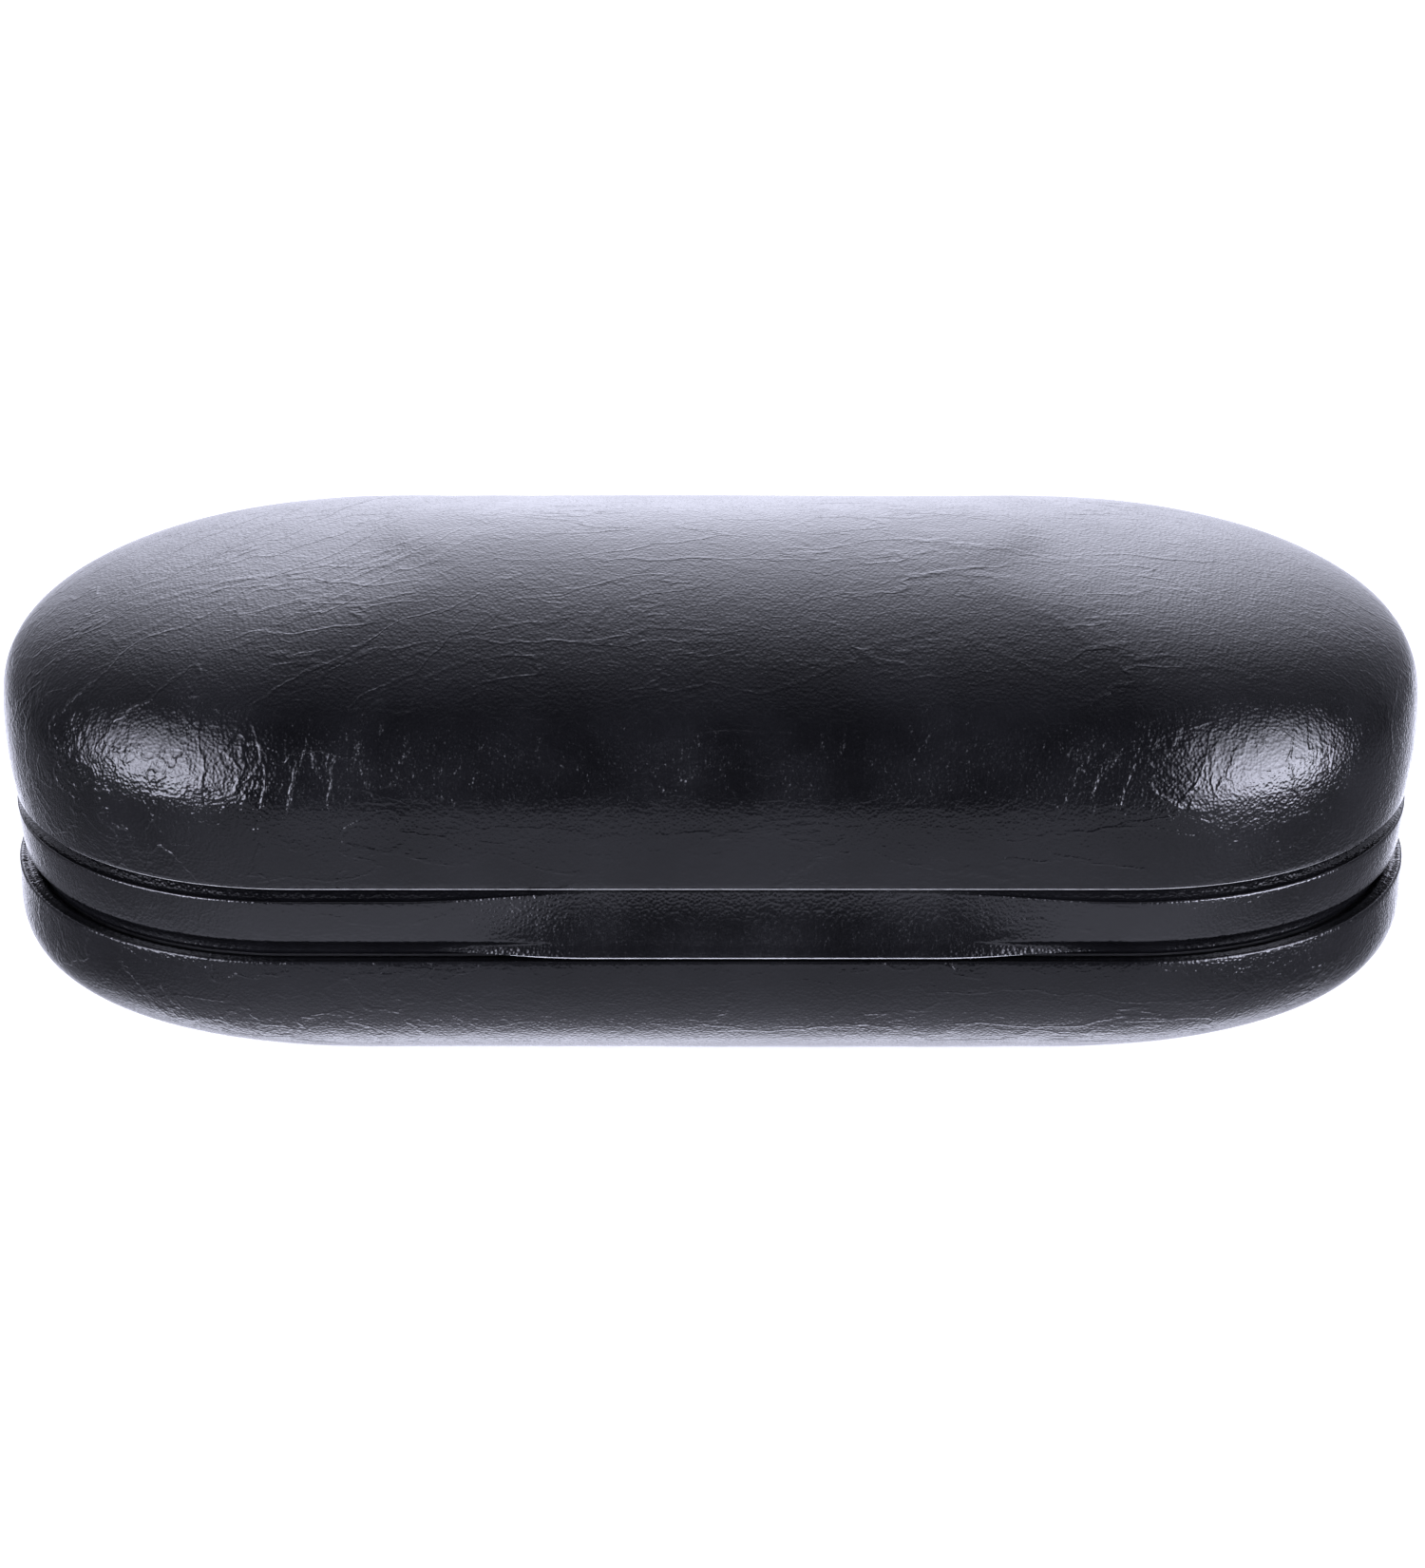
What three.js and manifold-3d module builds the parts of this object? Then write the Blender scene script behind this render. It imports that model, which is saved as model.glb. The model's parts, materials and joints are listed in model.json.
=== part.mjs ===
// A hard clamshell eyeglasses case: a domed lid and a collared base, both wrapped in leatherette,
// lined with flocked inserts and joined at the back by a riveted steel hinge with two snap springs.
// Millimetres. X runs along the case, +Y is the hinge side, Z is up and the case rests on Z = 0.
import * as THREE from 'three';
import { mergeVertices } from 'three/addons/utils/BufferGeometryUtils.js';
import Module from 'manifold-3d';

const wasm = await Module();
wasm.setup();

// ---- Driving dimensions ----

const caseLength = 168;
const bodyDepth = 70;
const caseHeight = 60;
const endRadius = bodyDepth / 2;
const straightHalf = caseLength / 2 - endRadius;
const ringSegments = 32;

const lidWidest = 38;
const seamHeight = 28.2;
const lidEdgeInset = 1.1;
const baseRimHeight = 19;
const baseRimInset = 1;

// How full the crown of the lid and the bowl of the base are: a power of 2 is an ellipse.
const crown = { level: 3, length: 2.3 };
const bowl = { depth: 2.8, level: 4.5, length: 1.7 };
// The crown's top runs level along the middle of the lid for about this half-length.
const ridge = { half: 46, power: 8, blend: 12 };
const bowlFlatLevel = 0.97;

const skin = 0.8;
const steel = 0.6;
const lining = 0.8;
const gap = 0.3;
const foldWidth = 1.9;
const leafRoom = 1.3;
const slack = 0.1;

const collarTop = 27.7;
const collarTail = 19.4;
const collarInner = 5.2;
const bellySteps = 7;
const spigot = { outer: 3.5, inner: 4.6, bottom: 15.5, top: collarTail - 0.2 };
const scoop = { middle: 6, halfWidth: 38, depth: 2.4, height: 8.2 };

const hingeY = 33.8;
const hingeHalf = 40;
const knuckleCount = 5;
const knuckleGap = 0.4;
const knuckleRadius = 1.3;
const boreRadius = 0.8;
const pinRadius = 0.7;

// A leaf's face is its plate's place along Y from the hinge axis, and its start the plate's first height.
const leafThickness = 0.4;
const leafHeight = 7;
const lidLeaf = { side: 1, face: -1.95, start: 1.9, rivetHeight: 4.5, knuckles: [1, 3] };
const baseLeaf = { side: -1, face: -2.6, start: 2.8, rivetHeight: -4.5, knuckles: [0, 2, 4] };

// The notch leaves room for the barrel at the back of the lid, the collar and the linings.
const notch = { half: hingeHalf + 1, inner: 6, outer: 4, lidRise: 2, collarDrop: 2, overlap: 1 };
const liningWindow = leafHeight + 0.5;

const spring = { thickness: 0.3, width: 7, bend: -2.7, lift: 1.7 };
const rivet = { shank: 0.9, hole: 1, head: 1.7, headHeight: 0.45, endPlace: 34 };
const stripThickness = 0.6;
const stripHalf = hingeHalf + 4;
const outerStripEnds = { base: -6, lid: 7.5 };
const innerStripEnd = 9;
const barrelBulge = knuckleRadius + gap + stripThickness;

// The strip over the barrel stands proud of the back, so the case is centred on its full depth.
const centringShift = -(hingeY + barrelBulge - endRadius) / 2;

// ---- Materials ----

function finish(color, roughness, metalness) {
  return new THREE.MeshStandardMaterial({ color, roughness, metalness });
}

const leatherette = () => finish(0x17171a, 0.45, 0);
const flock = () => finish(0x1b1b20, 0.95, 0);
const plastic = () => finish(0x26262a, 0.6, 0);
const pressedSteel = () => finish(0x8d9094, 0.4, 0.9);
const hingeSteel = () => finish(0xb4b6b8, 0.3, 1);

// ---- Solids: closed meshes as manifolds ----

function toSolid(source) {
  const bare = source.clone();
  bare.deleteAttribute('normal');
  bare.deleteAttribute('uv');
  const merged = mergeVertices(bare, 1e-4);
  const corners = merged.index.array;
  const kept = [];
  for (let i = 0; i < corners.length; i += 3) {
    const [a, b, c] = corners.slice(i, i + 3);
    if (a !== b && b !== c && c !== a) kept.push(a, b, c);
  }
  const vertProperties = new Float32Array(merged.getAttribute('position').array);
  return new wasm.Manifold(new wasm.Mesh({ numProp: 3, vertProperties, triVerts: new Uint32Array(kept) }));
}

function toGeometry(solid) {
  const { vertProperties, triVerts } = solid.getMesh();
  const geometry = new THREE.BufferGeometry();
  geometry.setAttribute('position', new THREE.BufferAttribute(vertProperties, 3));
  geometry.setIndex(new THREE.BufferAttribute(triVerts, 1));
  geometry.computeVertexNormals();
  return geometry;
}

function box(min, max) {
  const size = max.map((value, axis) => value - min[axis]);
  const geometry = new THREE.BoxGeometry(...size);
  geometry.translate(...min.map((value, axis) => value + size[axis] / 2));
  return toSolid(geometry);
}

function rodAlongX(radius, length, x) {
  const geometry = new THREE.CylinderGeometry(radius, radius, length, 16);
  geometry.rotateZ(Math.PI / 2);
  geometry.translate(x, 0, 0);
  return toSolid(geometry);
}

// ---- Stadium solids: a turned profile pulled apart along X ----

// Each profile point has an end radius, the half-length of its straight sides, and a height.
const ringPoint = (radius, straight, z) => ({ radius, straight, z });
const wallPoint = ([inset, z]) => ringPoint(endRadius - inset, straightHalf, z);

function stadiumSolid(profile) {
  const points = profile.map(({ radius, z }) => new THREE.Vector2(radius, z));
  const geometry = new THREE.LatheGeometry(points, ringSegments, Math.PI / ringSegments);
  geometry.rotateX(Math.PI / 2);
  const position = geometry.getAttribute('position');
  for (let i = 0; i < position.count; i++) {
    const x = position.getX(i);
    position.setX(i, x + Math.sign(x) * profile[i % profile.length].straight);
  }
  return toSolid(geometry);
}

function stadiumRing(section) {
  const points = section.map(wallPoint);
  return stadiumSolid([...points, points[0]]);
}

// Where the flat back wall of a given inset stands, seen from the hinge axis.
const backWall = (inset) => (endRadius - inset) * Math.cos(Math.PI / ringSegments) - hingeY;

// ---- Lid and base forms ----

// Depth follows an ellipse over the lid's crown, and length a fuller curve that blends into the level
// ridge. Level 1 is the crown.
function lidCrown(inset, level) {
  const radius = (endRadius - inset) * Math.sqrt(1 - level ** 2);
  const dome = (caseLength / 2 - inset) * (1 - level ** crown.level) ** (1 / crown.length);
  const top = ridge.half * level * (1 - level ** ridge.power) ** (1 / ridge.power);
  const reach = (dome ** ridge.blend + top ** ridge.blend) ** (1 / ridge.blend);
  return ringPoint(radius, reach - radius, lidWidest + (caseHeight - inset - lidWidest) * level);
}

const lidLean = (z) => lidEdgeInset * ((lidWidest - z) / (lidWidest - seamHeight)) ** 2;

// From the crown down to the given edge height.
function lidSurface(inset, edge) {
  const turns = [0, 10, 22, 34, 46, 58, 69, 80, 90].map(THREE.MathUtils.degToRad);
  const walls = [0.5, 1].map((share) => lidWidest + (edge - lidWidest) * share);
  return [
    ...turns.map((turn) => lidCrown(inset, Math.cos(turn))),
    ...walls.map((z) => wallPoint([inset + lidLean(z), z])),
  ];
}

// Level 0 is the rim and level 1 the deepest point, which the flat underside cuts off.
function basePoint(inset, floor, level) {
  const radius = (endRadius - baseRimInset - inset) * (1 - level ** 2) ** (1 / bowl.depth);
  const reach = (caseLength / 2 - baseRimInset - inset) * (1 - level ** bowl.level) ** (1 / bowl.length);
  const z = baseRimHeight + (floor - baseRimHeight) * (level / bowlFlatLevel);
  return ringPoint(radius, reach - radius, z);
}

// From the middle of the flat underside up to the rim.
function baseSurface(inset, floor) {
  const levels = [1, 0.97, 0.92, 0.84, 0.73, 0.6, 0.44, 0.25, 0].map((share) => share * bowlFlatLevel);
  return [ringPoint(0, 0, floor), ...levels.map((level) => basePoint(inset, floor, level))];
}

const reversed = (list) => [...list].reverse();

// ---- Skins, shells and linings ----

function lidCoverSolid() {
  const foldTop = seamHeight + skin;
  const foldEnd = lidEdgeInset + foldWidth + skin;
  const fold = [[foldEnd, foldTop], [foldEnd, seamHeight], [lidEdgeInset + gap, seamHeight]];
  const outer = reversed(lidSurface(0, seamHeight + gap));
  return stadiumSolid([...lidSurface(skin, foldTop), ...fold.map(wallPoint), ...outer]);
}

function lidLayerSolid(outerInset, thickness, edge) {
  const inner = lidSurface(outerInset + thickness, edge);
  return stadiumSolid([...inner, ...reversed(lidSurface(outerInset, edge))]);
}

function baseCoverSolid() {
  const foldEnd = baseRimInset + foldWidth;
  const outer = baseSurface(0, 0);
  outer.pop();
  const rimEdge = [[baseRimInset, baseRimHeight - gap], [baseRimInset + gap, baseRimHeight]];
  const rim = [...rimEdge, [foldEnd, baseRimHeight]];
  const foldUnder = [[foldEnd, baseRimHeight - skin], [baseRimInset + skin, baseRimHeight - skin]];
  const inner = baseSurface(skin, skin);
  inner.pop();
  return stadiumSolid([...outer, ...[...rim, ...foldUnder].map(wallPoint), ...reversed(inner)]);
}

function baseShellSolid() {
  const inset = skin + gap;
  const whole = stadiumSolid([
    ...baseSurface(inset, inset),
    ...reversed(baseSurface(inset + steel, inset + steel)),
  ]);
  const top = baseRimHeight - skin - gap;
  return whole.subtract(box([-caseLength, -bodyDepth, top], [caseLength, bodyDepth, caseHeight]));
}

function baseLiningSolid() {
  const inset = collarInner + gap - baseRimInset;
  const floor = skin + gap + steel + 2 * gap;
  const wallTop = collarTop - gap;
  return stadiumSolid([
    ...baseSurface(inset, floor),
    wallPoint([inset + baseRimInset, wallTop]),
    wallPoint([inset + baseRimInset + lining, wallTop]),
    ...reversed(baseSurface(inset + lining, floor + lining)),
  ]);
}

// ---- Collar ----

// The belly of the collar from its tail up to its top, as [inset, z] points.
const belly = new THREE.CubicBezierCurve(
  new THREE.Vector2(3.2, collarTail + 0.5),
  new THREE.Vector2(0.9, 21.3),
  new THREE.Vector2(0.7, 26.9),
  new THREE.Vector2(2.4, collarTop),
);

function bellyAt(depth) {
  const points = [];
  for (let i = 0; i <= bellySteps; i++) {
    const point = belly.getPoint(i / bellySteps);
    const along = belly.getTangent(i / bellySteps);
    points.push([point.x + along.y * depth, point.y - along.x * depth]);
  }
  return points;
}

function collarBlock(depth, innerInset, bottom) {
  const top = collarTop - depth;
  const curve = bellyAt(depth).filter(([, z]) => z < top - 2 * slack);
  const tailInset = belly.v0.x + depth;
  const shoulder = belly.v3.x + depth * 0.4;
  return stadiumRing([
    [innerInset, bottom],
    [tailInset, bottom],
    ...curve,
    [shoulder, top],
    [innerInset, top],
  ]);
}

// The thumb scoop is an ellipsoid at the seam, a little to the right of the middle: its wall is upright
// under the lid and runs out at the rim.
function scoopCutter(grow) {
  const geometry = new THREE.SphereGeometry(1, 32, 16);
  geometry.scale(scoop.halfWidth + grow, scoop.depth + grow, scoop.height + grow);
  geometry.translate(scoop.middle, -(endRadius - lidEdgeInset), seamHeight);
  return toSolid(geometry);
}

const hingeNotch = (bottom, top) => box(
  [-notch.half, hingeY - notch.inner, seamHeight + bottom],
  [notch.half, hingeY + notch.outer, seamHeight + top],
);
const collarNotch = () => hingeNotch(-notch.collarDrop, notch.overlap);
const lidNotch = () => hingeNotch(-notch.overlap, notch.lidRise);

function collarCoverSolid() {
  const outer = collarBlock(0, collarInner, collarTail).subtract(scoopCutter(0));
  const core = collarBlock(skin, collarInner + skin, collarTail - 1).subtract(scoopCutter(skin));
  return outer.subtract(core).subtract(collarNotch());
}

function collarFrameSolid() {
  const depth = skin + gap;
  const ring = collarBlock(depth, collarInner, spigot.top).subtract(scoopCutter(depth));
  const tongue = stadiumRing([
    [spigot.inner, spigot.bottom],
    [spigot.outer, spigot.bottom],
    [spigot.outer, spigot.top],
    [collarInner, spigot.top + gap],
    [collarInner, spigot.top],
  ]);
  const leafWell = box(
    [-notch.half, hingeY - notch.inner, seamHeight - leafHeight - gap],
    [notch.half, hingeY + baseLeaf.face + slack, seamHeight],
  );
  return ring.add(tongue).subtract(collarNotch()).subtract(leafWell);
}

// ---- Hinge, built about its own axis at the origin ----

const knucklePitch = (2 * hingeHalf) / knuckleCount;
const knuckleX = (index) => -hingeHalf + knucklePitch * (index + 0.5);
const knuckleLength = knucklePitch - knuckleGap;
const springPlaces = lidLeaf.knuckles.map(knuckleX);
const rivetPlaces = [-rivet.endPlace, ...springPlaces, rivet.endPlace];

// The lid's leaf leaves the barrel at its top and the base's at its bottom.
function leafSolid({ side, face, start, rivetHeight, knuckles }) {
  const span = (near, far) => [side * near, side * far].sort((a, b) => a - b);
  const [plateLow, plateHigh] = span(start, leafHeight);
  let leaf = box([-hingeHalf, face - leafThickness, plateLow], [hingeHalf, face, plateHigh]);
  for (const index of knuckles) {
    const x = knuckleX(index);
    const half = knuckleLength / 2;
    const [tabLow, tabHigh] = span(knuckleRadius - leafThickness, knuckleRadius);
    const [neckLow, neckHigh] = span(knuckleRadius - leafThickness, start + gap);
    leaf = leaf
      .add(rodAlongX(knuckleRadius, knuckleLength, x))
      .add(box([x - half, face - leafThickness, tabLow], [x + half, 0, tabHigh]))
      .add(box([x - half, face - leafThickness, neckLow], [x + half, face, neckHigh]));
  }
  for (const x of rivetPlaces) leaf = leaf.subtract(rivetHole(x, rivetHeight));
  return leaf.subtract(rodAlongX(boreRadius, 3 * hingeHalf, 0));
}

function rivetHole(x, z) {
  const length = notch.inner + notch.outer;
  const geometry = new THREE.CylinderGeometry(rivet.hole, rivet.hole, length, 12);
  geometry.translate(x, length / 2 - notch.inner, z);
  return toSolid(geometry);
}

// The domed head ends just short of the leaf or spring at y = face, and the shank ends at y = tip.
function rivetGeometry(x, z, face, tip) {
  const underHead = face - slack / 2;
  const profile = [
    new THREE.Vector2(0, face - rivet.headHeight),
    new THREE.Vector2(rivet.head * 0.7, face - rivet.headHeight * 0.75),
    new THREE.Vector2(rivet.head, underHead),
    new THREE.Vector2(rivet.shank, underHead),
    new THREE.Vector2(rivet.shank, tip),
    new THREE.Vector2(0, tip),
  ];
  const geometry = new THREE.LatheGeometry(profile, 12);
  geometry.translate(x, 0, z);
  return geometry;
}

// A strip of sheet: a centre line of [y, z] points given thickness, and width along X.
function bentStrip(line, thickness, width) {
  const offset = (side) => line.map(([y, z], i) => {
    const before = line[Math.max(i - 1, 0)];
    const after = line[Math.min(i + 1, line.length - 1)];
    const along = new THREE.Vector2(after[0] - before[0], after[1] - before[1]).normalize();
    const shift = (side * thickness) / 2;
    return new THREE.Vector2(y + along.y * shift, z - along.x * shift);
  });
  const shape = new THREE.Shape([...offset(1), ...reversed(offset(-1))]);
  const geometry = new THREE.ExtrudeGeometry(shape, { depth: width, bevelEnabled: false });
  geometry.translate(0, 0, -width / 2);
  const shapeToWorld = new THREE.Matrix4().makeBasis(
    new THREE.Vector3(0, 1, 0),
    new THREE.Vector3(0, 0, 1),
    new THREE.Vector3(1, 0, 0),
  );
  return geometry.applyMatrix4(shapeToWorld);
}

// A spring's foot lies along the base leaf, and its tip curls up under the barrel.
function snapSpringSolid() {
  const foot = baseLeaf.face - leafThickness - slack - spring.thickness / 2;
  const curl = new THREE.QuadraticBezierCurve(
    new THREE.Vector2(foot, spring.bend),
    new THREE.Vector2(foot, spring.bend / 2),
    new THREE.Vector2(foot + spring.lift, -slack),
  );
  const line = [[foot, 2 * slack - leafHeight]];
  for (const { x, y } of curl.getPoints(4)) line.push([x, y]);
  const strip = toSolid(bentStrip(line, spring.thickness, spring.width));
  return strip.subtract(rivetHole(0, baseLeaf.rivetHeight));
}

// How far in from the sides the belly stands at a height above the hinge axis.
function bellyInset(z) {
  const distance = ([, height]) => Math.abs(height - seamHeight - z);
  const [nearest] = bellyAt(0).sort((a, b) => distance(a) - distance(b));
  return nearest[0];
}

// Up the collar, round the barrel and up the lid.
function outerStripLine() {
  const clearOfSkin = gap + stripThickness / 2;
  const low = outerStripEnds.base;
  const high = outerStripEnds.lid;
  const line = [low, low * 0.75, low * 0.5].map((z) => [backWall(bellyInset(z)) + clearOfSkin, z]);
  for (const turn of [-45, -22.5, 0, 22.5, 45]) {
    const angle = THREE.MathUtils.degToRad(turn);
    const radius = knuckleRadius + clearOfSkin;
    line.push([radius * Math.cos(angle), radius * Math.sin(angle)]);
  }
  for (const z of [high * 0.4, high * 0.7, high]) {
    line.push([backWall(lidLean(seamHeight + z)) + clearOfSkin, z]);
  }
  return line;
}

// Up the base lining, over the leaves and up the lid lining.
function innerStripLine() {
  const clearOfLining = gap + stripThickness / 2;
  const lidFace = backWall(lidEdgeInset + skin + gap + steel + leafRoom + lining) - clearOfLining;
  const baseFace = backWall(collarInner + gap + lining) - clearOfLining;
  const overLeaves = baseLeaf.face - 1.5;
  return [
    [baseFace, -innerStripEnd],
    [baseFace, -baseLeaf.start - 0.7],
    [overLeaves - gap, -1.6],
    [overLeaves, 0],
    [overLeaves, 1.6],
    [lidFace, lidLeaf.start + 1.3],
    [lidFace, innerStripEnd],
  ];
}

// ---- Assembly ----

const eyeglassesCase = new THREE.Group();
const body = new THREE.Group();
body.position.y = centringShift;
const hinge = new THREE.Group();
hinge.position.set(0, hingeY, seamHeight);
body.add(hinge);
eyeglassesCase.add(body);

function place(parent, name, geometry, material) {
  const mesh = new THREE.Mesh(geometry, material);
  mesh.name = name;
  parent.add(mesh);
  return mesh;
}

const withRivetHoles = (solid, height) => rivetPlaces.reduce(
  (cut, x) => cut.subtract(rivetHole(x, height).translate([0, hingeY, seamHeight])),
  solid,
);

function addBase() {
  const insert = baseLiningSolid().subtract(hingeNotch(-liningWindow, notch.overlap));
  place(body, 'base_cover', toGeometry(baseCoverSolid()), leatherette());
  place(body, 'base_shell', toGeometry(baseShellSolid()), pressedSteel());
  place(body, 'base_lining', toGeometry(insert), flock());
  const frame = withRivetHoles(collarFrameSolid(), baseLeaf.rivetHeight);
  place(body, 'collar_frame', toGeometry(frame), plastic());
  place(body, 'collar_cover', toGeometry(collarCoverSolid()), leatherette());
}

function addLid() {
  const shellInset = skin + gap;
  const liningInset = shellInset + steel + leafRoom;
  const shell = lidLayerSolid(shellInset, steel, seamHeight + skin + gap).subtract(lidNotch());
  const insert = lidLayerSolid(liningInset, lining, seamHeight + gap);
  const windowed = insert.subtract(hingeNotch(-notch.overlap, liningWindow));
  place(body, 'lid_cover', toGeometry(lidCoverSolid().subtract(lidNotch())), leatherette());
  place(body, 'lid_shell', toGeometry(withRivetHoles(shell, lidLeaf.rivetHeight)), pressedSteel());
  place(body, 'lid_lining', toGeometry(windowed), flock());
}

function addRivets() {
  const lidHead = lidLeaf.face - leafThickness;
  const lidTip = backWall(lidLean(seamHeight + lidLeaf.rivetHeight) + skin + gap) - slack;
  const baseTip = baseLeaf.face + 1.1;
  rivetPlaces.forEach((x, i) => {
    const springStack = springPlaces.includes(x) ? slack + spring.thickness : 0;
    const baseHead = baseLeaf.face - leafThickness - springStack;
    const lidRivet = rivetGeometry(x, lidLeaf.rivetHeight, lidHead, lidTip);
    const baseRivet = rivetGeometry(x, baseLeaf.rivetHeight, baseHead, baseTip);
    place(hinge, `lid_rivet_${i + 1}`, lidRivet, hingeSteel());
    place(hinge, `base_rivet_${i + 1}`, baseRivet, hingeSteel());
  });
}

function addHinge() {
  place(hinge, 'hinge_leaf_lid', toGeometry(leafSolid(lidLeaf)), hingeSteel());
  place(hinge, 'hinge_leaf_base', toGeometry(leafSolid(baseLeaf)), hingeSteel());
  place(hinge, 'hinge_pin', toGeometry(rodAlongX(pinRadius, 2 * hingeHalf, 0)), hingeSteel());
  ['left', 'right'].forEach((side, i) => {
    const mesh = place(hinge, `snap_spring_${side}`, toGeometry(snapSpringSolid()), hingeSteel());
    mesh.position.x = springPlaces[i];
  });
  addRivets();
  const outer = bentStrip(outerStripLine(), stripThickness, 2 * stripHalf);
  const inner = bentStrip(innerStripLine(), stripThickness, 2 * hingeHalf);
  place(hinge, 'hinge_strip_outer', outer, leatherette());
  place(hinge, 'hinge_strip_inner', inner, flock());
}

addBase();
addLid();
addHinge();

export default eyeglassesCase;
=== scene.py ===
"""A hard clamshell eyeglasses case in creased black leatherette, on a pale floor in soft studio light.

Shapes are worked out in millimetres, X along the case and -Y its front, and turned into metres when
a mesh is made.
"""
import json
import math

import bpy
import bmesh
import numpy as np
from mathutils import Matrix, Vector


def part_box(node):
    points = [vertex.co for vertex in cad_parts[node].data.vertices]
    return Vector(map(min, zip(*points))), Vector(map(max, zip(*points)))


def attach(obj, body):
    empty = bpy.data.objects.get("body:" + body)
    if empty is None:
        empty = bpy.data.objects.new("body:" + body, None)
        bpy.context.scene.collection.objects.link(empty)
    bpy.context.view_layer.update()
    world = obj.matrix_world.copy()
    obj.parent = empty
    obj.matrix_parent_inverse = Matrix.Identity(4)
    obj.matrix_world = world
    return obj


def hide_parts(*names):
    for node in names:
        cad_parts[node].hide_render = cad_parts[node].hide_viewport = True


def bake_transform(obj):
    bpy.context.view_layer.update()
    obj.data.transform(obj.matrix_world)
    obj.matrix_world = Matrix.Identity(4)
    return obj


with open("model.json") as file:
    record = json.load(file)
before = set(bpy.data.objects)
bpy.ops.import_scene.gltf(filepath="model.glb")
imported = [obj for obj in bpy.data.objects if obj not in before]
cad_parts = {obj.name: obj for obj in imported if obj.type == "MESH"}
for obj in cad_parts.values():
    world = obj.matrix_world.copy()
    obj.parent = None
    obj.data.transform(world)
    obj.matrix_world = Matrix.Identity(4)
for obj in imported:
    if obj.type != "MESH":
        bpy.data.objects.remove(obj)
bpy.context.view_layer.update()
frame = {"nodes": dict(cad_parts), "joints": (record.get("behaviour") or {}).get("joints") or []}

# ---- Driving dimensions, in millimetres ----

MM = 0.001


def node_box(node):
    low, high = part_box(node)
    return np.array(low) / MM, np.array(high) / MM


LID_LOW, LID_HIGH = node_box("lid_cover")
BASE_HIGH = node_box("base_cover")[1]
COLLAR_LOW, COLLAR_HIGH = node_box("collar_cover")
STRIP_LOW, STRIP_HIGH = node_box("hinge_strip_outer")
INNER_LOW, INNER_HIGH = node_box("hinge_strip_inner")
HINGE = np.array(frame["joints"][0]["pos_m"]) / MM

# The frame's rings have 32 flat sides, whose corners lie on the real outline.
FLAT_SIDE = math.cos(math.pi / 32)
MIDDLE_Y = (LID_LOW[1] + LID_HIGH[1]) / 2
END_RADIUS = (LID_HIGH[1] - MIDDLE_Y) / FLAT_SIDE
HALF_LENGTH = LID_HIGH[0] + END_RADIUS * (1 - FLAT_SIDE)
STRAIGHT_HALF = HALF_LENGTH - END_RADIUS
CROWN = LID_HIGH[2]
SEAM = LID_LOW[2]
RIM = BASE_HIGH[2]
COLLAR_TOP = COLLAR_HIGH[2]
COLLAR_TAIL = COLLAR_LOW[2]

# The outline's ends are a little fuller and longer than half circles.
END_FULLNESS = 2.2
END_STRETCH = 1.057

# The lid: its widest height, the dome and level ridge of its crown, and its lower edge.
WIDEST = 38.0
DOME_POWER = 3
DOME_FULLNESS = 2.3
RIDGE_HALF = 46.0
RIDGE_POWER = 8
RIDGE_BLEND = 12
LID_EDGE_INSET = 1.1
LID_FOLD = 1.1

# The base: its rim, and the bowl's curve, which the flat underside cuts off at its last level.
RIM_INSET = 1.0
RIM_FOLD = 0.3
RIM_TOP = RIM + 0.35
BOWL_LAST_LEVEL = 0.97
BOWL_SIDE_FULLNESS = 2.8
BOWL_END_POWER = 4.5
BOWL_END_FULLNESS = 1.7

# The collar, and the thumb scoop in its front with the lip it runs out in.
COLLAR_INNER = 5.2
COLLAR_SKIN = 0.35
COLLAR_FOOT_INSET = 3.2
SHOULDER = 26.9
SHOULDER_ROUNDING = 0.2
HEEL_ROUNDING = 0.8
SCOOP_MIDDLE = 6.0
SCOOP_FULL = 20.0
SCOOP_HALF = 42.0
SCOOP_DEPTH = 2.4
LIP = COLLAR_TAIL + 0.45

SKIN = 0.8
NOTCH_HALF = 41.0

# Distances between a mesh's points.
FINE = 0.5
COARSE = 1.6

# A turn in degrees over this and times a radius is a distance round the section.
DEGREES_PER_RADIAN = 57.3


# ---- Rings: rows of (radius, reach, height), each drawn as a closed outline ----

def lid_rows(inset, levels):
    """Rows over the lid's dome and its level ridge, from level 0 at the widest to level 1 on top."""
    levels = np.asarray(levels)
    radius = (END_RADIUS - inset) * np.sqrt(1 - levels**2)
    dome = (HALF_LENGTH - inset) * (1 - levels**DOME_POWER) ** (1 / DOME_FULLNESS)
    ridge = RIDGE_HALF * levels * (1 - levels**RIDGE_POWER) ** (1 / RIDGE_POWER)
    reach = (dome**RIDGE_BLEND + ridge**RIDGE_BLEND) ** (1 / RIDGE_BLEND)
    height = WIDEST + (CROWN - inset - WIDEST) * levels
    return np.stack([radius, reach, height], axis=1)


def base_rows(inset, floor, levels):
    """Rows of the base's bowl. Level 0 is its rim and level 1 the edge of the flat underside."""
    levels = np.asarray(levels) * BOWL_LAST_LEVEL
    radius = (END_RADIUS - RIM_INSET - inset) * (1 - levels**2) ** (1 / BOWL_SIDE_FULLNESS)
    reach = (HALF_LENGTH - RIM_INSET - inset) * (1 - levels**BOWL_END_POWER) ** (1 / BOWL_END_FULLNESS)
    height = RIM + (floor - RIM) * levels / BOWL_LAST_LEVEL
    return np.stack([radius, reach, height], axis=1)


def wall_rows(section):
    """Rows from (inset, height) points of a wall that keeps its inset all the way round."""
    inset, height = np.array(section, float).T
    return np.stack([END_RADIUS - inset, HALF_LENGTH - inset, height], axis=1)


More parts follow.
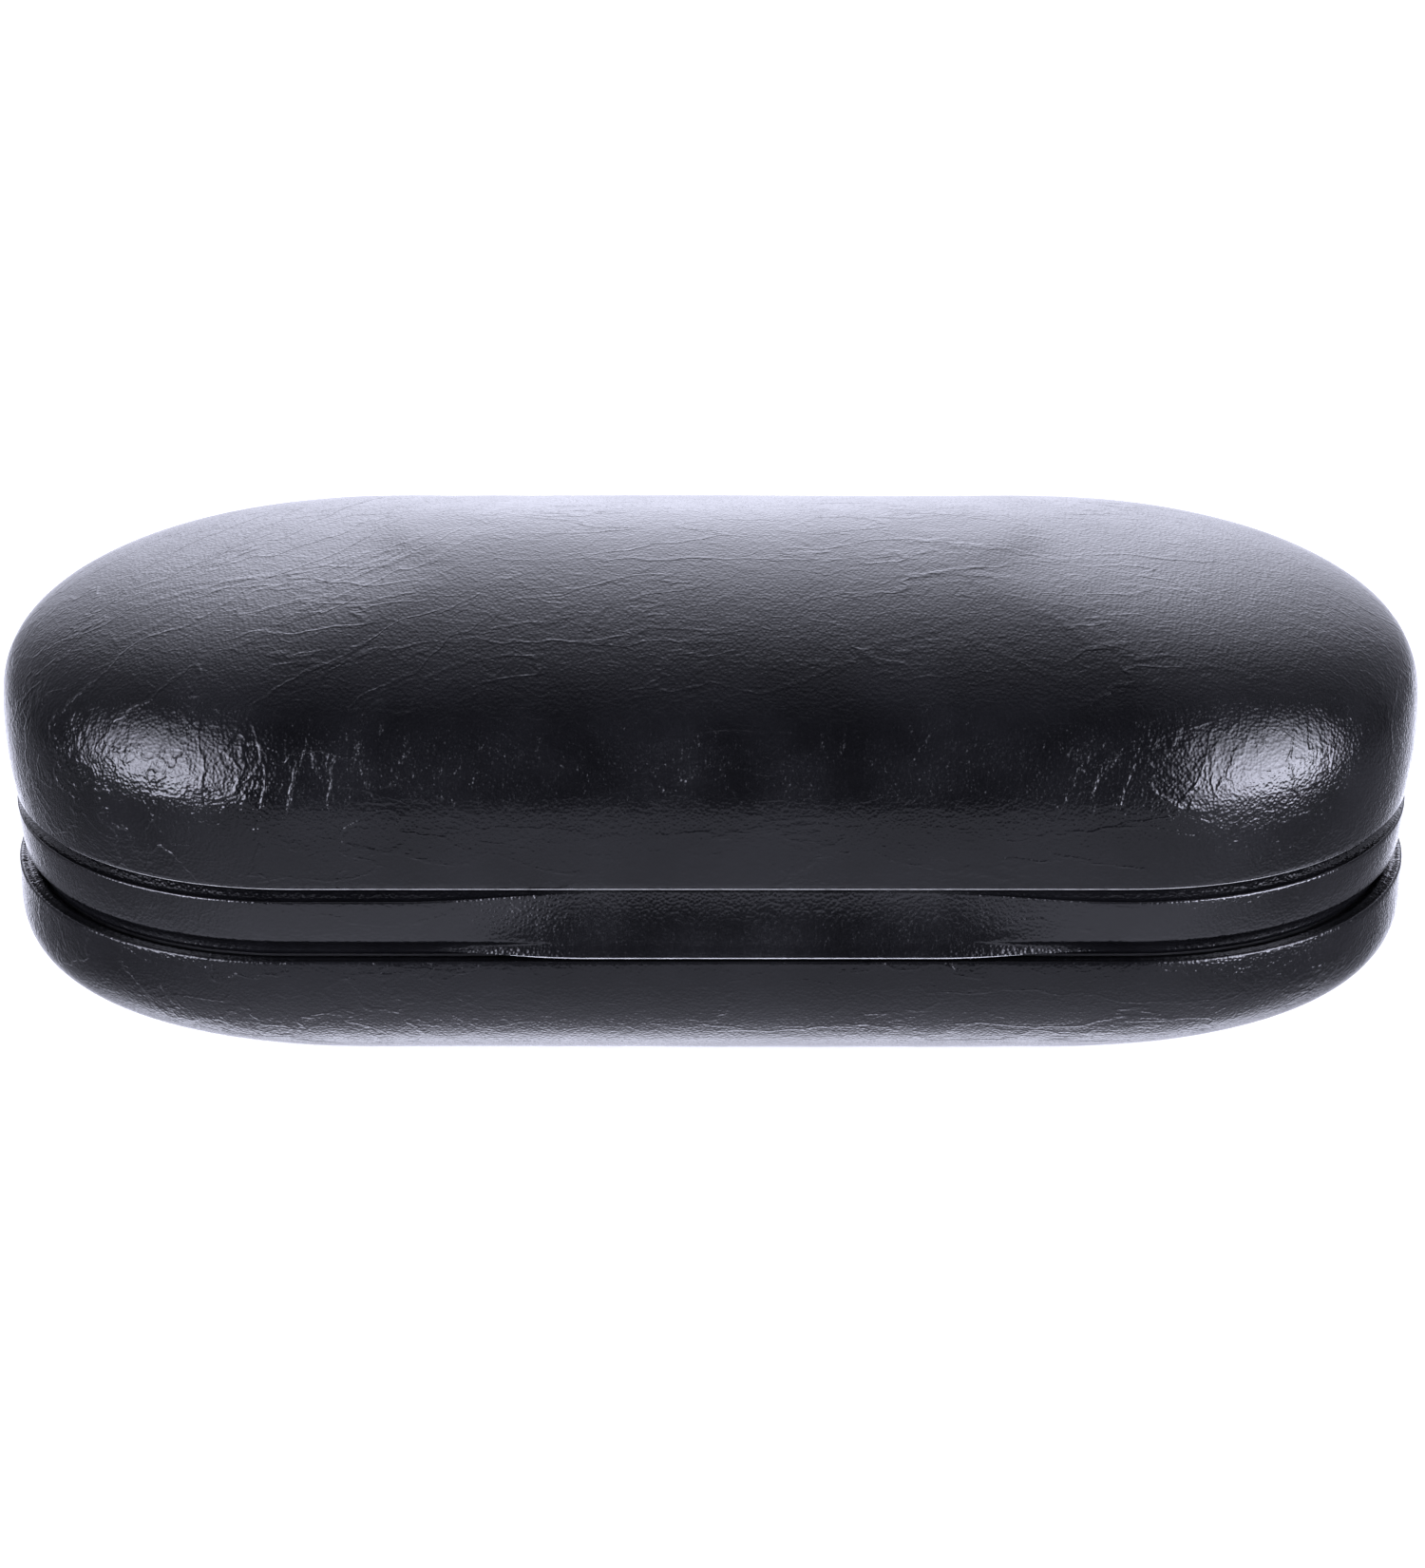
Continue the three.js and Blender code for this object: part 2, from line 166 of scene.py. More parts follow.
def lid_wall(inset, start, end, count):
    """Rows of the lid's lower wall, which leans in towards its edge."""
    heights = np.linspace(start, end, count)
    lean = LID_EDGE_INSET * ((WIDEST - heights) / (WIDEST - SEAM)) ** 2
    return wall_rows(np.stack([inset + lean, heights], axis=1))


def arc(centre, radius, start, end, count):
    """Points of an arc in a section, with its angles in degrees."""
    angles = np.radians(np.linspace(start, end, count))
    return np.stack([centre[0] + radius * np.cos(angles), centre[1] + radius * np.sin(angles)], axis=1)


def evenly(rows, step):
    """The same surface with rows about a step apart along it."""
    change = np.diff(rows, axis=0)
    across = np.hypot(change[:, 0], change[:, 2])
    endways = np.hypot(change[:, 1], change[:, 2])
    travel = np.concatenate([[0], np.cumsum((across + endways) / 2)])
    places = np.linspace(0, travel[-1], max(3, round(travel[-1] / step) + 1))
    return np.stack([np.interp(places, travel, column) for column in rows.T], axis=1)


def smooth_levels(count):
    """Levels from 1 to 0, close together near 1, where a crown is flattest."""
    return np.cos(np.linspace(0, math.pi / 2, count))


def outline_columns(step):
    """Cosine, sine and share of the straight side for each point around an outline, anticlockwise."""
    quarter = np.linspace(0, math.pi / 2, round(END_RADIUS * math.pi / 2 / step), endpoint=False)
    shares = np.linspace(1, -1, round(2 * STRAIGHT_HALF / step), endpoint=False)
    columns = []
    for start, share in ((0, 1), (math.pi, -1)):
        turned = quarter + start
        columns.append([np.cos(turned), np.sin(turned), np.full_like(turned, share)])
        columns.append([np.zeros_like(shares), np.full_like(shares, share), shares * share])
        turned = quarter + start + math.pi / 2
        columns.append([np.cos(turned), np.sin(turned), np.full_like(turned, -share)])
    return np.concatenate(columns, axis=1)


def ring_points(rows, step):
    """Every row drawn round as points: an array of rows by columns by 3."""
    cosine, sine, share = outline_columns(step)
    radius, reach, height = (column[:, None] for column in rows.T)
    end = np.minimum(END_STRETCH * radius, reach)
    swell = np.sign(cosine) * np.abs(cosine) ** (2 / END_FULLNESS)
    x = share * (reach - end) + end * swell
    y = MIDDLE_Y + radius * sine
    return np.stack([x, y, height + 0 * x], axis=2)


def grid_normals(points):
    """Outward normals of rows that run from the top of a surface to its bottom."""
    along = np.roll(points, -1, axis=1) - np.roll(points, 1, axis=1)
    down = np.gradient(points, axis=0)
    normals = np.cross(down, along)
    return normals / np.maximum(np.linalg.norm(normals, axis=2, keepdims=True), 1e-9)


def smoothstep(value, start, end):
    share = np.clip((value - start) / (end - start), 0, 1)
    return share * share * (3 - 2 * share)


def at_the_back(points):
    """1 across the hinge's notch in the back wall, 0 elsewhere."""
    x, y = points[..., 0], points[..., 1]
    return (1 - smoothstep(np.abs(x), NOTCH_HALF - 0.5, NOTCH_HALF + 1)) * (y > HINGE[1] / 2)


def shift_edge(points, edge, shift, fade):
    """Raises or lowers an edge across the hinge's notch, fading out away from the edge."""
    near = 1 - smoothstep(np.abs(points[..., 2] - edge), 0.5, fade)
    points[..., 2] += shift * near * at_the_back(points)


# ---- Meshes ----

def grid_faces(index):
    """Faces joining rows of point numbers, closed around the columns, with triangles at a pole."""
    right = np.roll(index, -1, axis=1)
    quads = np.stack([index[:-1], index[1:], right[1:], right[:-1]], axis=-1).reshape(-1, 4)
    return [list(dict.fromkeys(quad)) for quad in quads.tolist()]


def add_mesh(name, points, faces, material):
    mesh = bpy.data.meshes.new(name)
    mesh.from_pydata((points * MM).tolist(), [], faces)
    edit = bmesh.new()
    edit.from_mesh(mesh)
    loose = [vertex for vertex in edit.verts if not vertex.link_faces]
    bmesh.ops.delete(edit, geom=loose, context="VERTS")
    bmesh.ops.recalc_face_normals(edit, faces=edit.faces)
    edit.to_mesh(mesh)
    edit.free()
    mesh.shade_smooth()
    mesh.materials.append(material)
    piece = bpy.data.objects.new(name, mesh)
    bpy.context.scene.collection.objects.link(piece)
    return piece


def finish_rows(piece, material, columns, first, last, where=None):
    """Gives the faces between two rows another material, on some columns or on all."""
    finishes = np.zeros(len(piece.data.polygons), dtype=np.int32)
    piece.data.polygons.foreach_get("material_index", finishes)
    piece.data.materials.append(material)
    band = finishes[first * columns:last * columns].reshape(-1, columns)
    band[:, slice(None) if where is None else where] = len(piece.data.materials) - 1
    piece.data.polygons.foreach_set("material_index", finishes)


def domed_skin(name, points, material):
    """A closed skin whose first and last rows each close up to one point."""
    rows, columns = points.shape[:2]
    index = np.arange(rows * columns).reshape(rows, columns)
    for row in (0, -1):
        points[row] = points[row].mean(axis=0)
        index[row] = index[row, 0]
    return add_mesh(name, points.reshape(-1, 3), grid_faces(index), material)


def hoop_skin(name, points, material):
    """A closed hoop whose last row joins its first."""
    rows, columns = points.shape[:2]
    index = np.arange(rows * columns).reshape(rows, columns)
    index = np.concatenate([index, index[:1]])
    return add_mesh(name, points.reshape(-1, 3), grid_faces(index), material)


# ---- Creases pressed into the leatherette ----

def turn_of(points):
    """How far round the section each point is: 0 degrees at the front, 90 on top, 180 at the back."""
    up = (points[..., 2] - WIDEST) / (CROWN - WIDEST)
    front = (MIDDLE_Y - points[..., 1]) / END_RADIUS
    return np.degrees(np.arctan2(up, front))


def on_surface(points, turns, x, turn):
    """The surface point nearest to a place along the case and a turn round its section."""
    gap = (points[:, 0] - x) ** 2 + ((turns - turn) * END_RADIUS / DEGREES_PER_RADIAN) ** 2
    return points[np.argmin(gap)]


def crease_line(points, turns, corners, rng):
    """A wandering line of points over the surface, through corners of (x, turn)."""
    corners = np.array(corners, float)
    travel = np.arange(len(corners))
    steps = np.linspace(0, travel[-1], 6 * travel[-1] + 1)
    x = np.interp(steps, travel, corners[:, 0]) + rng.normal(0, 0.12, len(steps))
    turn = np.interp(steps, travel, corners[:, 1]) + rng.normal(0, 0.15, len(steps))
    return np.array([on_surface(points, turns, a, b) for a, b in zip(x, turn)])


def press_crease(height, points, line, width, depth):
    """Adds a soft ridge with a wider, shallow trough under it along a line of surface points."""
    margin = 4 * width
    low, high = line.min(axis=0) - margin, line.max(axis=0) + margin
    near = np.flatnonzero(np.all((points > low) & (points < high), axis=1))
    if not len(near):
        return
    distance = np.full(len(near), 1e9)
    travel = np.zeros(len(near))
    for i, (start, end) in enumerate(zip(line[:-1], line[1:])):
        span = end - start
        share = np.clip((points[near] - start) @ span / max(span @ span, 1e-9), 0, 1)
        gap = np.linalg.norm(points[near] - start - share[:, None] * span, axis=1)
        closer = gap < distance
        distance[closer] = gap[closer]
        travel[closer] = (i + share[closer]) / (len(line) - 1)
    fade = np.sqrt(np.clip(4 * travel * (1 - travel), 0, 1))
    across = distance / width
    height[near] += depth * fade * (np.exp(-across**2) - 0.45 * np.exp(-((across / 2.2) ** 2)))


# Long creases of the lid, each through corners of (x in mm, turn in degrees).
LONG_CREASES = [
    [(-76, 58), (-71, 60)],
    [(-72, 61), (-67, 53), (-63, 43)],
    [(-72, 60), (-67, 67), (-61, 71), (-57, 70), (-52, 65)],
    [(-65, 77), (-61, 75), (-55, 74), (-47, 74)],
    [(-53, 64), (-49, 71), (-45, 74), (-40, 78), (-37, 82)],
    [(-42, 70), (-36, 77), (-31, 81)],
    [(-69, 53), (-65, 57), (-61, 62)],
    [(-31, 80), (-24, 75), (-15, 74)],
    [(-16, 46), (-12, 62)],
    [(-14, 45), (-10, 61)],
    [(-28, 58), (-24, 57), (-22, 53)],
    [(-49, 55), (-45, 51)],
    [(14, 41), (19, 48), (26, 53), (31, 57)],
    [(28, 52), (33, 46), (38, 40), (45, 38)],
    [(47, 49), (51, 42), (59, 42), (66, 38), (66, 32)],
    [(41, 57), (45, 50)],
    [(39, 58), (43, 49)],
    [(43, 58), (47, 51)],
    [(17, 69), (26, 70), (35, 69)],
    [(20, 84), (30, 81), (41, 78)],
    [(64, 32), (63, 23), (64, 10)],
    [(51, 33), (57, 19), (59, 5)],
    [(54, 28), (60, 15)],
    [(40, 37), (38, 14)],
    [(45, 30), (44, 12)],
    [(75, 36), (79, 28)],
    [(69, 30), (70, 18), (67, 8)],
    [(-58, 28), (-60, 16), (-57, 4)],
    [(-66, 30), (-64, 14)],
    [(-52, 20), (-51, 6)],
]

# Patches of short creases: (x, turn) of the middle, spread along and round, heading and its spread
# in degrees from the case's length, how many, and their length.
LID_PATCHES = [
    ((-58, 70), (16, 9), 22, 12, 22, 9),
    ((-36, 74), (16, 8), 30, 10, 14, 8),
    ((-22, 60), (12, 9), -40, 10, 8, 6),
    ((4, 76), (22, 9), 5, 18, 22, 8),
    ((30, 74), (16, 9), 6, 16, 30, 8),
    ((36, 58), (12, 8), -40, 20, 16, 5),
    ((46, 18), (16, 12), 82, 10, 22, 8),
    ((66, 18), (14, 12), 75, 18, 30, 6),
    ((66, 60), (10, 12), -30, 20, 12, 8),
    ((-64, 16), (16, 12), 80, 18, 34, 6),
    ((-50, 112), (25, 14), 20, 30, 24, 8),
    ((0, 118), (30, 14), 0, 30, 26, 9),
    ((52, 114), (20, 14), -20, 30, 24, 8),
    ((0, 160), (60, 10), 60, 30, 40, 6),
]
BASE_PATCHES = [
    ((-60, -46), (14, 10), -28, 20, 20, 7),
    ((0, -50), (50, 8), 8, 20, 22, 8),
    ((62, -48), (14, 10), 28, 20, 20, 7),
    ((0, -135), (60, 10), 10, 40, 40, 8),
]
COLLAR_PATCHES = [
    ((-58, -36), (14, 4), -35, 20, 12, 4),
    ((60, -36), (14, 4), 35, 20, 12, 4),
    ((0, -38), (45, 4), 10, 40, 12, 4),
    ((0, -140), (60, 5), 10, 40, 20, 5),
]


def short_creases(patch, rng):
    """Straight short lines scattered over a patch, as pairs of (x, turn) corners."""
    (x, turn), (spread_x, spread_turn), heading, heading_spread, count, length = patch
    for _ in range(count):
        middle = rng.normal((x, turn), (spread_x / 2, spread_turn / 2))
        angle = math.radians(rng.normal(heading, heading_spread))
        half = length / 2 * rng.uniform(0.5, 1.4)
        around = half * math.sin(angle) * DEGREES_PER_RADIAN / END_RADIUS
        reach = np.array([half * math.cos(angle), around])
        bend = rng.normal(0, 0.6, 2)
        yield [middle - reach, middle + bend, middle + reach]


def leather_height(points, patches, long_lines, seed):
    """How far each point of a leatherette surface rises above its smooth form."""
    rng = np.random.default_rng(seed)
    flat = points.reshape(-1, 3)
    turns = turn_of(flat)
    height = np.zeros(len(flat))
    for corners in long_lines:
        line = crease_line(flat, turns, corners, rng)
        press_crease(height, flat, line, rng.uniform(0.36, 0.46), rng.uniform(0.035, 0.055))
    for patch in patches:
        for corners in short_creases(patch, rng):
            line = crease_line(flat, turns, corners, rng)
            press_crease(height, flat, line, rng.uniform(0.36, 0.48), rng.uniform(0.01, 0.026))
    return height.reshape(points.shape[:2])


def undulation(points):
    """Slow unevenness of a skin laid by hand over its shell."""
    x, y, z = (points[..., axis] for axis in range(3))
    slow = np.sin(x / 9 + y / 13) * np.sin(y / 11 - z / 8) + np.sin(x / 17 - z / 6 + 1)
    quick = np.sin(x / 4.1 + z / 3.3) * np.sin(y / 3.7 - x / 5.9)
    return 0.03 * slow + 0.012 * quick


def press_leather(points, patches, long_lines, seed):
    """Moves a surface out along its normals to carry its creases and unevenness."""
    raised = leather_height(points, patches, long_lines, seed) + undulation(points)
    return points + raised[..., None] * grid_normals(points)


# ---- Materials ----

def node(tree, kind, inputs=None, **settings):
    """Adds a shader node, sets it up, and fills or links its inputs."""
    made = tree.nodes.new(kind)
    for name, value in settings.items():
        setattr(made, name, value)
    for name, value in (inputs or {}).items():
        if isinstance(value, bpy.types.NodeSocket):
            tree.links.new(value, made.inputs[name])
        else:
            made.inputs[name].default_value = value
    return made


def new_material(name):
    """A material with its node tree, its shader and where each point is on its piece."""
    material = bpy.data.materials.new(name)
    material.use_nodes = True
    tree = material.node_tree
    place = node(tree, "ShaderNodeTexCoord").outputs["Object"]
    return material, tree, tree.nodes["Principled BSDF"], place


def stretched(tree, place, scale):
    """A place scaled along its axes, so that a pattern drawn there is drawn out."""
    return node(tree, "ShaderNodeMapping", {"Vector": place, "Scale": scale}).outputs["Vector"]


def noise(tree, place, scale, detail=3):
    inputs = {"Vector": place, "Scale": scale, "Detail": detail}
    return node(tree, "ShaderNodeTexNoise", inputs).outputs["Fac"]


def spread(tree, value, low, high, to_low=0.0, to_high=1.0):
    """A value's place between low and high, as 0 to 1 or between two other numbers."""
    inputs = {"Value": value, "From Min": low, "From Max": high, "To Min": to_low, "To Max": to_high}
    return node(tree, "ShaderNodeMapRange", inputs).outputs["Result"]


def product(tree, a, b):
    made = node(tree, "ShaderNodeMath", {0: a, 1: b}, operation="MULTIPLY")
    return made.outputs[0]


def bump(tree, height, distance, strength=1.0, under=None):
    inputs = {"Height": height, "Distance": distance, "Strength": strength}
    if under:
        inputs["Normal"] = under
    return node(tree, "ShaderNodeBump", inputs).outputs["Normal"]


# Where a mix node keeps its two colours and the colour that it makes.
FIRST_COLOUR, SECOND_COLOUR, MIXED_COLOUR = 6, 7, 2


def blended(tree, share, dark, light):
    made = node(tree, "ShaderNodeMix", data_type="RGBA")
    tree.links.new(share, made.inputs["Factor"])
    made.inputs[FIRST_COLOUR].default_value = (*dark, 1)
    made.inputs[SECOND_COLOUR].default_value = (*light, 1)
    return made.outputs[MIXED_COLOUR]


def wander(tree, place, scale, amount):
    """A place pushed about by noise, so that a pattern drawn there isn't regular."""
    shifts = node(tree, "ShaderNodeTexNoise", {"Vector": place, "Scale": scale, "Detail": 2})
    push = node(tree, "ShaderNodeVectorMath", {0: shifts.outputs["Color"]}, operation="SCALE")
    push.inputs["Scale"].default_value = amount
    return node(tree, "ShaderNodeVectorMath", {0: place, 1: push.outputs[0]}).outputs[0]


def total(tree, *values):
    """The sum of several values."""
    result = values[0]
    for value in values[1:]:
        result = node(tree, "ShaderNodeMath", {0: result, 1: value}, operation="ADD").outputs[0]
    return result


def wrinkles(tree, place, heading, lengthening, scale, thinness):
    """Thin wandering lines where a noise passes its middle value, drawn out along a heading."""
    turned = node(tree, "ShaderNodeMapping", {"Vector": place, "Rotation": heading, "Scale": lengthening},
                  vector_type="TEXTURE").outputs["Vector"]
    level = noise(tree, turned, scale, 4)
    rise = node(tree, "ShaderNodeMath", {0: level, 1: 0.5}, operation="SUBTRACT").outputs[0]
    away = node(tree, "ShaderNodeMath", {0: rise}, operation="ABSOLUTE").outputs[0]
    return spread(tree, away, 0, thinness, 1, 0)


def leather_wrinkles(tree, place):
    """Wrinkles along the case on top, across it at the left, and up and down at its lower ends."""
    axes = node(tree, "ShaderNodeSeparateXYZ", {"Vector": place})
    x, z = axes.outputs["X"], axes.outputs["Z"]
    from_middle = node(tree, "ShaderNodeMath", {0: x}, operation="ABSOLUTE").outputs[0]
    # Where each kind of wrinkle shows: x and z are in metres.
    patches = spread(tree, noise(tree, place, 38), 0.42, 0.58)
    low = product(tree, spread(tree, z, 0.052, 0.044), spread(tree, z, 0.036, 0.04))
    ends = spread(tree, from_middle, 0.03, 0.05)
    left = spread(tree, x, -0.015, -0.04)
    pushed = wander(tree, place, 70, 0.004)
    along = wrinkles(tree, pushed, (0, 0, 0.1), (3, 1, 1), 130, 0.022)
    slanting = wrinkles(tree, pushed, (0, 0, 0.75), (4, 1, 1), 120, 0.02)
    upright = wrinkles(tree, pushed, (0, 0.2, 0), (1, 2.5, 2.5), 150, 0.025)
    hairs = wrinkles(tree, pushed, (0, 0, 0), (1.6, 1, 1), 330, 0.04)
    return total(tree, product(tree, along, patches), product(tree, slanting, left),
                 product(tree, product(tree, upright, low), ends), product(tree, hairs, 0.35))


def leatherette(name, gloss, wrinkling):
    """Black coated cloth with a fine pebble grain, and thin wrinkles of a depth in metres."""
    material, tree, shader, place = new_material(name)
    grain = node(tree, "ShaderNodeTexVoronoi", {"Vector": place, "Scale": 2600, "Smoothness": 0.6},
                 feature="SMOOTH_F1").outputs["Distance"]
    normal = bump(tree, noise(tree, place, 260, 4), 0.00006)
    normal = bump(tree, leather_wrinkles(tree, place), wrinkling, under=normal)
    normal = bump(tree, grain, 0.00006, 0.8, under=normal)
    tree.links.new(normal, shader.inputs["Normal"])
    worn = spread(tree, noise(tree, place, 90, 5), 0.35, 0.7)
    colour = blended(tree, worn, (0.0022, 0.0022, 0.0027), (0.004, 0.004, 0.0049))
    tree.links.new(colour, shader.inputs["Base Color"])
    tree.links.new(spread(tree, worn, 0, 1, 0.17, 0.25), shader.inputs["Roughness"])
    shader.inputs["Specular IOR Level"].default_value = gloss
    return material


def rubbed_edge_and_painted_highlight(name="rubbed_edge_and_painted_highlight"):
    """The thin edge of the cloth in light grey: partly its coating rubbed pale, partly a painted highlight
    standing for the glint along its fold.
    """
    material, tree, shader, place = new_material(name)
    scuff_and_highlight_mottle = noise(tree, place, 700, 4)
    # The light grey is partly wear and partly a painted highlight; this mottle varies both.
    colour = blended(tree, spread(tree, scuff_and_highlight_mottle, 0.3, 0.7), (0.24, 0.24, 0.25), (0.46, 0.46, 0.48))
    tree.links.new(colour, shader.inputs["Base Color"])
    tree.links.new(spread(tree, scuff_and_highlight_mottle, 0.3, 0.7, 0.4, 0.6), shader.inputs["Roughness"])
    tree.links.new(bump(tree, scuff_and_highlight_mottle, 0.00005), shader.inputs["Normal"])
    return material


def flock(name="flock"):
    """Short black velour pile with brushed light and dark streaks."""
    material, tree, shader, place = new_material(name)
    brushed = noise(tree, wander(tree, place, 60, 0.008), 110, 8)
    fibres = noise(tree, place, 3800, 2)
    brushed = spread(tree, brushed, 0.3, 0.7)
    colour = blended(tree, brushed, (0.008, 0.008, 0.009), (0.016, 0.016, 0.018))
    tree.links.new(colour, shader.inputs["Base Color"])
    tree.links.new(spread(tree, fibres, 0.3, 0.7, 0.85, 1), shader.inputs["Roughness"])
    tree.links.new(bump(tree, fibres, 0.00015), shader.inputs["Normal"])
    shader.inputs["Specular IOR Level"].default_value = 0.15
    shader.inputs["Sheen Weight"].default_value = 0.35
    shader.inputs["Sheen Roughness"].default_value = 0.45
    shader.inputs["Sheen Tint"].default_value = (0.6, 0.6, 0.62, 1)
    return material


def steel(name, roughness, brushing):
    """Bare steel, with fine lines along its rolling direction."""
    material, tree, shader, place = new_material(name)
    lines = noise(tree, stretched(tree, place, brushing), 900, 2)
    spots = noise(tree, place, 160, 4)
    colour = blended(tree, spots, (0.42, 0.43, 0.45), (0.6, 0.61, 0.62))
    tree.links.new(colour, shader.inputs["Base Color"])
    tree.links.new(spread(tree, spots, 0.3, 0.7, roughness, roughness + 0.15), shader.inputs["Roughness"])
    tree.links.new(bump(tree, lines, 0.00003), shader.inputs["Normal"])
    shader.inputs["Metallic"].default_value = 1.0
    return material


def moulded_plastic(name="moulded_plastic"):
    """Black plastic with the fine matt texture of its mould."""
    material, tree, shader, place = new_material(name)
    texture = noise(tree, place, 1400, 3)
    colour = blended(tree, noise(tree, place, 80), (0.012, 0.012, 0.013), (0.02, 0.02, 0.021))
    tree.links.new(colour, shader.inputs["Base Color"])
    tree.links.new(spread(tree, texture, 0.3, 0.7, 0.5, 0.65), shader.inputs["Roughness"])
    tree.links.new(bump(tree, texture, 0.00004), shader.inputs["Normal"])
    return material


def pale_floor():
    """White paper, lit evenly enough that only a soft shadow shows under the case."""
    material, tree, shader, place = new_material("pale_floor")
    mottle = noise(tree, place, 6, 2)
    tree.links.new(blended(tree, mottle, (0.88, 0.88, 0.88), (0.9, 0.9, 0.9)), shader.inputs["Base Color"])
    shader.inputs["Roughness"].default_value = 0.9
    shader.inputs["Specular IOR Level"].default_value = 0.1
    shader.inputs["Emission Color"].default_value = (1, 1, 1, 1)
    shader.inputs["Emission Strength"].default_value = 0.75
    return material


LEATHER = leatherette("leatherette", 0.5, 0.000045)
TIGHT_LEATHER = leatherette("tight_leatherette", 0.82, 0.000018)
RUBBED_EDGE_AND_PAINTED_HIGHLIGHT = rubbed_edge_and_painted_highlight()
FLOCK = flock()


# ---- Covers ----

def lid_cover():
    """The lid's skin: its outside, its lower edge folded in under the wall, and its inner face."""
    lean = math.atan(2 * LID_EDGE_INSET / (WIDEST - SEAM))
    wall_end = SEAM + LID_FOLD * (1 - math.sin(lean))
    wall = lid_wall(0, WIDEST, wall_end, 60)
    outside = evenly(np.concatenate([lid_rows(0, smooth_levels(400)), wall[1:]]), FINE)
    edge_inset = END_RADIUS - wall[-1, 0]
    centre = (edge_inset + LID_FOLD * math.cos(lean), SEAM + LID_FOLD)
    fold = wall_rows(arc(centre, LID_FOLD, 180 + math.degrees(lean), 270, 9)[1:])
    # Past the fold the skin runs in to the lining, up, and back out to the wall.
    under = [(3.6, SEAM), (3.8, SEAM + 0.2), (3.8, SEAM + SKIN), (edge_inset + SKIN, SEAM + SKIN)]
    inner_wall = lid_wall(SKIN, SEAM + SKIN + 0.3, WIDEST, 4)
    inside = np.concatenate([inner_wall, lid_rows(SKIN, smooth_levels(12)[::-1])])
    surface = press_leather(ring_points(outside, FINE), LID_PATCHES, LONG_CREASES, 11)
    rest = ring_points(np.concatenate([fold, wall_rows(under), inside]), FINE)
    points = np.concatenate([surface, rest])
    shift_edge(points, SEAM, 2.0, 6)
    cover = domed_skin("lid_leatherette", points, LEATHER)
    # The fold's rows take the light grey edge: a rubbed edge plus a painted highlight for the fold's
    # glint.
    crest = len(surface) + 2
    finish_rows(cover, RUBBED_EDGE_AND_PAINTED_HIGHLIGHT, points.shape[1], crest, crest + 3)
    return cover


def base_cover():
    """The base's skin: flat underside, bowl, the rim folded in to a ledge, and its inner face."""
    underside = np.linspace(0, 1, 8)[:-1, None] * base_rows(0, 0, [1])
    underside[:, 2] = 0
    bowl = base_rows(0, 0, np.linspace(1, 0, 300) ** 0.6)
    lip = wall_rows([(RIM_INSET, RIM_TOP)])
    outside = evenly(np.concatenate([underside, bowl, lip]), FINE)[::-1]
    centre = (RIM_INSET + RIM_FOLD, RIM_TOP - RIM_FOLD)
    fold = wall_rows(arc(centre, RIM_FOLD, 180, 90, 6))
    # Behind the fold a shallow groove and a ledge run in under the collar.
    ledge = [(1.6, RIM_TOP - 0.05), (1.85, RIM_TOP - 0.25), (2.1, RIM_TOP - 0.15), (3, RIM_TOP - 0.15)]
    inner_edge = [(3.1, RIM_TOP - 0.3), (3.1, RIM - SKIN), (RIM_INSET + SKIN, RIM - SKIN)]
    rim = np.concatenate([fold, wall_rows(ledge + inner_edge)])
    inside = base_rows(SKIN, SKIN, np.linspace(0.12, 1, 12))
    inside = np.concatenate([inside, [[0, 0, SKIN]]])
    surface = press_leather(ring_points(outside, FINE), BASE_PATCHES, [], 23)
    # The underside stays flat, so the creases fade out close above the floor.
    lift = smoothstep(surface[..., 2], 0, 1.5)[..., None]
    smooth = ring_points(outside, FINE)
    surface = smooth + (surface - smooth) * lift
    keep = outside[:, 2] < RIM_TOP - RIM_FOLD
    rest = ring_points(np.concatenate([rim, inside]), FINE)
    points = np.concatenate([surface[keep][::-1], rest])
    return domed_skin("base_leatherette", points, LEATHER)


def collar_section(depth):
    """The collar's outside from its neck down to its heel, as (inset, height) points."""
    neck = [(2.4, COLLAR_TOP), (2.4, SHOULDER + 0.05)]
    shoulder = arc((1.25, SHOULDER - SHOULDER_ROUNDING), SHOULDER_ROUNDING, 90, 184, 6)
    heel = arc((2.5, 22.0), HEEL_ROUNDING, 200, 262, 9)
    bulge = np.array([(1.2, 24.0)])
    share = np.linspace(0, 1, 14)[1:-1, None]
    belly = (1 - share) ** 2 * shoulder[-1] + 2 * share * (1 - share) * bulge + share**2 * heel[0]
    foot = [(COLLAR_FOOT_INSET, COLLAR_TAIL + 1.2)]
    section = np.concatenate([neck, shoulder, belly, heel, foot])
    along = np.gradient(section, axis=0)
    along /= np.linalg.norm(along, axis=1, keepdims=True)
    return section + depth * np.stack([-along[:, 1], along[:, 0]], axis=1)


def carve_scoop(points, depth):
    """Bends the collar's front to the thumb scoop: upright under the lid, running out in a lip."""
    x, y, z = (points[..., axis] for axis in range(3))
    inset = END_RADIUS + y - MIDDLE_Y
    across = 1 - smoothstep(np.abs(x - SCOOP_MIDDLE), SCOOP_FULL, SCOOP_HALF)
    across = across * (y < 0) * (z > COLLAR_TAIL + 0.2) * (inset < 4)
    drop = np.clip((SEAM - z) / (SEAM - LIP), 0, 1)
    cove = LID_EDGE_INSET + depth + SCOOP_DEPTH * np.sqrt(1 - drop**2)
    points[..., 1] += across * (cove - inset)


